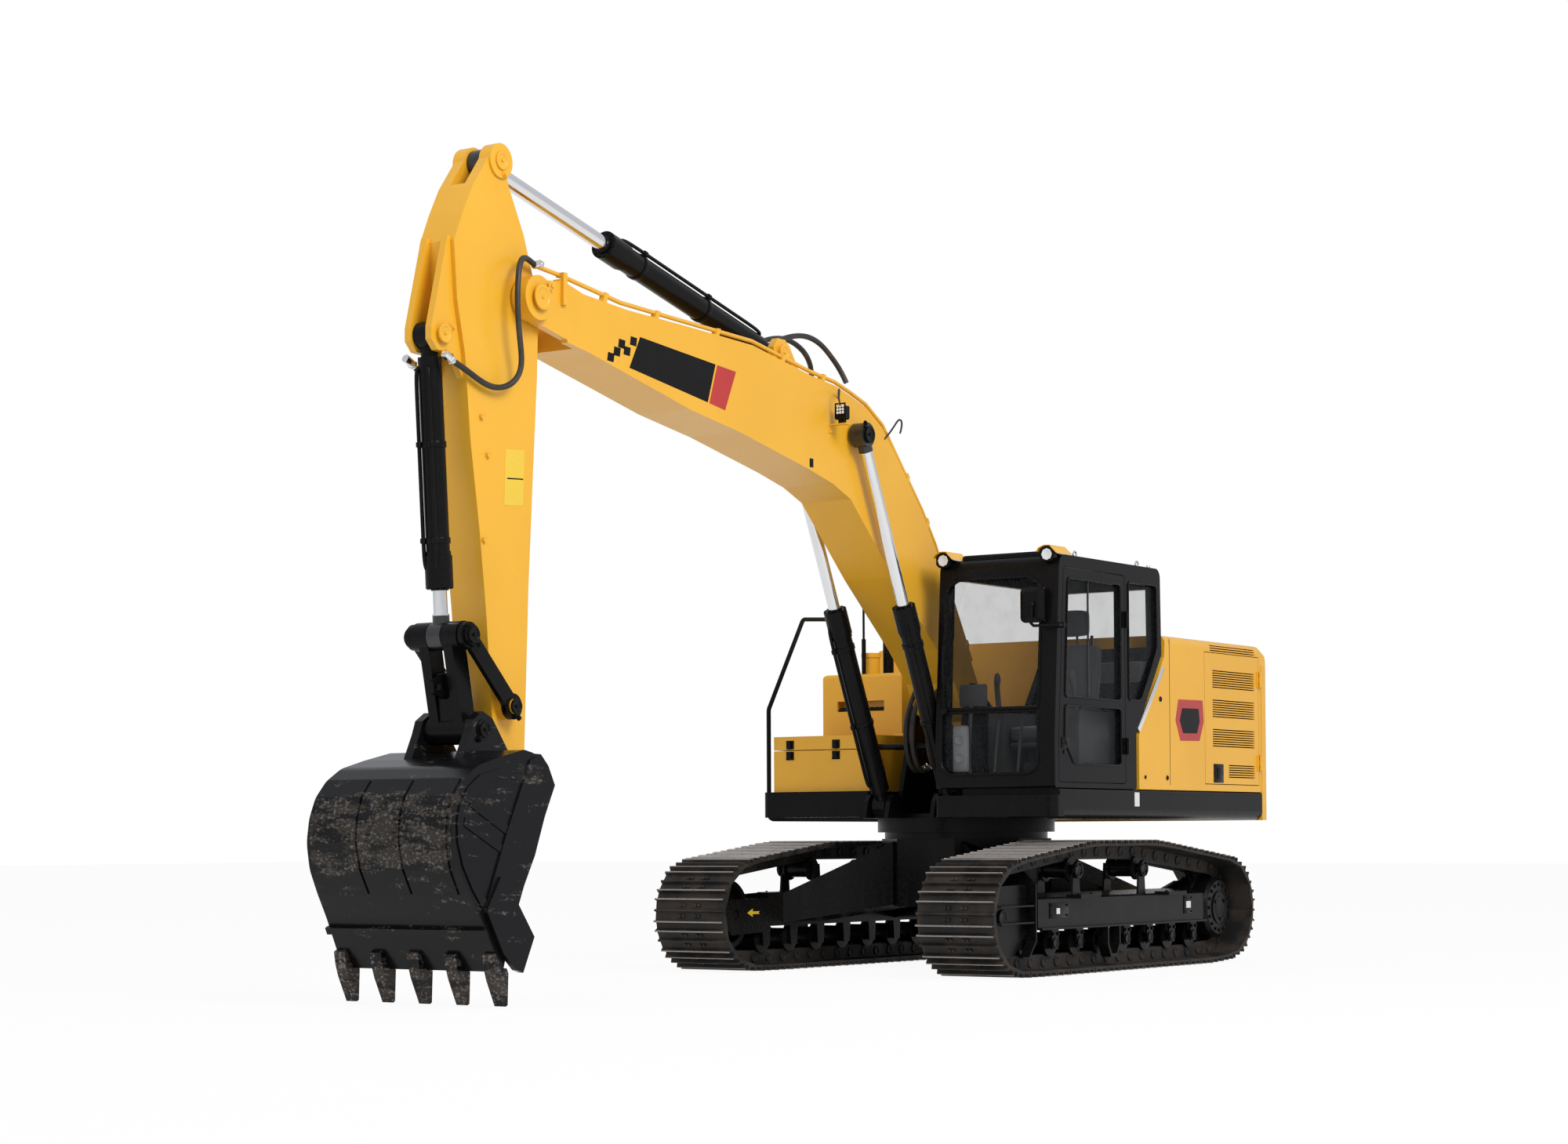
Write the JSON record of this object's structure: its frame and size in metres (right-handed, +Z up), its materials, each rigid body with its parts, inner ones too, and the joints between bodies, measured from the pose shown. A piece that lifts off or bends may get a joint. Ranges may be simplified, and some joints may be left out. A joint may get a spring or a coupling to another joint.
{
  "type": "crawler excavator",
  "caption": "Crawler excavator with swinging upper structure, boom, arm, bucket and its linkage, hydraulic cylinders, cab with a hinged door, hood doors and lid, and fixed track loops.",
  "frame": {"origin": "on the ground under the swing axis, midway between the tracks", "axes": "+X forward, to the bucket; +Y to the machine's left, the cab's side; +Z up"},
  "size_m": [9.4031, 2.8, 5.12],
  "materials": {
    "yellow_paint": "satin enamel",
    "black_paint": "satin enamel",
    "track_steel": "rolled steel, grousers polished by the ground",
    "worn_steel": "cast, scuffed bright at the tips",
    "chrome_rod": "hard chrome, ground",
    "cab_glass": "tinted safety glass",
    "seat_cloth": "woven, dark grey",
    "cab_plastic": "grained"
  },
  "bodies": {
    "undercarriage": {"track_chain_left": "track_steel", "track_frame_left": "black_paint", "track_rollers_left": "black_paint", "carrier_rollers_left": "black_paint", "idler_left": "black_paint", "sprocket_left": "black_paint", "track_chain_right": "track_steel", "track_frame_right": "black_paint", "track_rollers_right": "black_paint", "carrier_rollers_right": "black_paint", "idler_right": "black_paint", "sprocket_right": "black_paint", "carbody": "black_paint", "bearing_lower": "black_paint"},
    "upper": {"bearing_upper": "black_paint", "turntable": "black_paint", "deck_left": "black_paint", "deck_right": "black_paint", "cab_frame": "black_paint", "cab_glass": "cab_glass", "operator_seat": "seat_cloth", "cab_console": "cab_plastic", "engine_hood": "yellow_paint", "engine_block": "black_paint", "counterweight": "yellow_paint", "fuel_tank": "yellow_paint", "toolbox": "yellow_paint", "handrail": "black_paint", "cab_lamps": "black_paint", "lamp_hoods": "yellow_paint", "cab_mirror": "black_paint"},
    "boom": {"boom": "yellow_paint", "boom_pipes": "yellow_paint", "boom_lamp": "black_paint"},
    "arm": {"arm": "yellow_paint"},
    "bucket": {"bucket": "black_paint", "bucket_teeth": "worn_steel"},
    "arm_barrel": {"arm_barrel": "black_paint"},
    "arm_rod": {"arm_rod": "chrome_rod"},
    "bucket_barrel": {"bucket_barrel": "black_paint"},
    "bucket_rod": {"bucket_rod": "chrome_rod"},
    "idler_links": {"idler_links": "black_paint"},
    "bucket_link": {"bucket_link": "black_paint"},
    "cab_door": {"cab_door": "black_paint", "door_glass": "cab_glass"},
    "hood_door_left": {"hood_door_left": "yellow_paint"},
    "hood_door_right": {"hood_door_right": "yellow_paint"},
    "hood_lid": {"hood_lid": "yellow_paint"},
    "toolbox_lid": {"toolbox_lid": "yellow_paint"},
    "boom_barrel_left": {"boom_barrel_left": "black_paint"},
    "boom_rod_left": {"boom_rod_left": "chrome_rod"},
    "boom_barrel_right": {"boom_barrel_right": "black_paint"},
    "boom_rod_right": {"boom_rod_right": "chrome_rod"}
  },
  "joints": [
    {"name": "swing", "type": "hinge", "parent": "undercarriage", "child": "upper", "pos_m": [0, 0, 1.04], "axis": [0, 0, 1], "continuous": true},
    {"name": "boom_raise", "type": "hinge", "parent": "upper", "child": "boom", "pos_m": [0.232, 0, 1.975], "axis": [0, -1, 0], "range_deg": [-62, 33]},
    {"name": "arm_curl", "type": "hinge", "parent": "boom", "child": "arm", "pos_m": [5.473, 0, 4.215], "axis": [0, 1, 0], "range_deg": [-72, 47]},
    {"name": "bucket_curl", "type": "hinge", "parent": "arm", "child": "bucket", "pos_m": [5.62, 0, 1.293], "axis": [0, 1, 0], "range_deg": [-12, 158]},
    {"name": "arm_barrel_tilt", "type": "hinge", "parent": "boom", "child": "arm_barrel", "pos_m": [2.634, 0, 4.264], "axis": [0, 1, 0], "range_deg": [-6.1, 4.16]},
    {"name": "arm_rod_slide", "type": "slide", "parent": "arm_barrel", "child": "arm_rod", "axis": [0.9713, 0, 0.2381], "range_m": [-0.8925, 0.5833]},
    {"name": "bucket_barrel_tilt", "type": "hinge", "parent": "arm", "child": "bucket_barrel", "pos_m": [6.198, 0, 3.913], "axis": [0, 1, 0], "range_deg": [-0.76, 3.94]},
    {"name": "bucket_rod_slide", "type": "slide", "parent": "bucket_barrel", "child": "bucket_rod", "axis": [-0.0658, 0, -0.9978], "range_m": [-0.0745, 0.9567]},
    {"name": "idler_link_swing", "type": "hinge", "parent": "arm", "child": "idler_links", "pos_m": [5.676, 0, 1.751], "axis": [0, 1, 0], "range_deg": [-9.26, 115.84]},
    {"name": "bucket_link_swing", "type": "hinge", "parent": "bucket", "child": "bucket_link", "pos_m": [5.972, 0, 1.604], "axis": [0, 1, 0], "range_deg": [-115.84, 9.26]},
    {"name": "cab_door_swing", "type": "hinge", "parent": "upper", "child": "cab_door", "pos_m": [0.015, 1.367, 2.1], "axis": [0, 0, 1], "range_deg": [0, 165]},
    {"name": "hood_door_left_swing", "type": "hinge", "parent": "upper", "child": "hood_door_left", "pos_m": [-2.269, 1.367, 1.9], "axis": [0, 0, 1], "range_deg": [0, 120]},
    {"name": "hood_door_right_swing", "type": "hinge", "parent": "upper", "child": "hood_door_right", "pos_m": [-2.269, -1.367, 1.9], "axis": [0, 0, -1], "range_deg": [0, 120]},
    {"name": "hood_lid_lift", "type": "hinge", "parent": "upper", "child": "hood_lid", "pos_m": [-1.301, 0, 2.482], "axis": [0, 1, 0], "range_deg": [0, 75]},
    {"name": "toolbox_lid_lift", "type": "hinge", "parent": "upper", "child": "toolbox_lid", "pos_m": [-0.038, -0.8685, 1.747], "axis": [0, -1, 0], "range_deg": [0, 75]},
    {"name": "boom_barrel_left_tilt", "type": "hinge", "parent": "upper", "child": "boom_barrel_left", "pos_m": [0.703, 0.29, 1.192], "axis": [0, -1, 0], "range_deg": [-54.99, 29.5]},
    {"name": "boom_rod_left_slide", "type": "slide", "parent": "boom_barrel_left", "child": "boom_rod_left", "axis": [0.4208, 0, 0.9071], "range_m": [-0.8755, 0.4669]},
    {"name": "boom_barrel_right_tilt", "type": "hinge", "parent": "upper", "child": "boom_barrel_right", "pos_m": [0.703, -0.29, 1.192], "axis": [0, -1, 0], "range_deg": [-54.99, 29.5]},
    {"name": "boom_rod_right_slide", "type": "slide", "parent": "boom_barrel_right", "child": "boom_rod_right", "axis": [0.4208, 0, 0.9071], "range_m": [-0.8755, 0.4669]}
  ],
  "couplings": [
    {"joint": "arm_barrel_tilt", "follows": "arm_curl", "ratio": 0.0778},
    {"joint": "arm_rod_slide", "follows": "arm_curl", "m_per_rad": 0.7086},
    {"joint": "bucket_barrel_tilt", "follows": "bucket_curl", "ratio": 0.02175},
    {"joint": "bucket_rod_slide", "follows": "bucket_curl", "m_per_rad": 0.3462},
    {"joint": "idler_link_swing", "follows": "bucket_curl", "ratio": 0.73},
    {"joint": "bucket_link_swing", "follows": "bucket_curl", "ratio": -0.73},
    {"joint": "boom_barrel_left_tilt", "follows": "boom_raise", "ratio": 0.8788},
    {"joint": "boom_rod_left_slide", "follows": "boom_raise", "m_per_rad": 0.8072},
    {"joint": "boom_barrel_right_tilt", "follows": "boom_raise", "ratio": 0.8788},
    {"joint": "boom_rod_right_slide", "follows": "boom_raise", "m_per_rad": 0.8072}
  ]
}
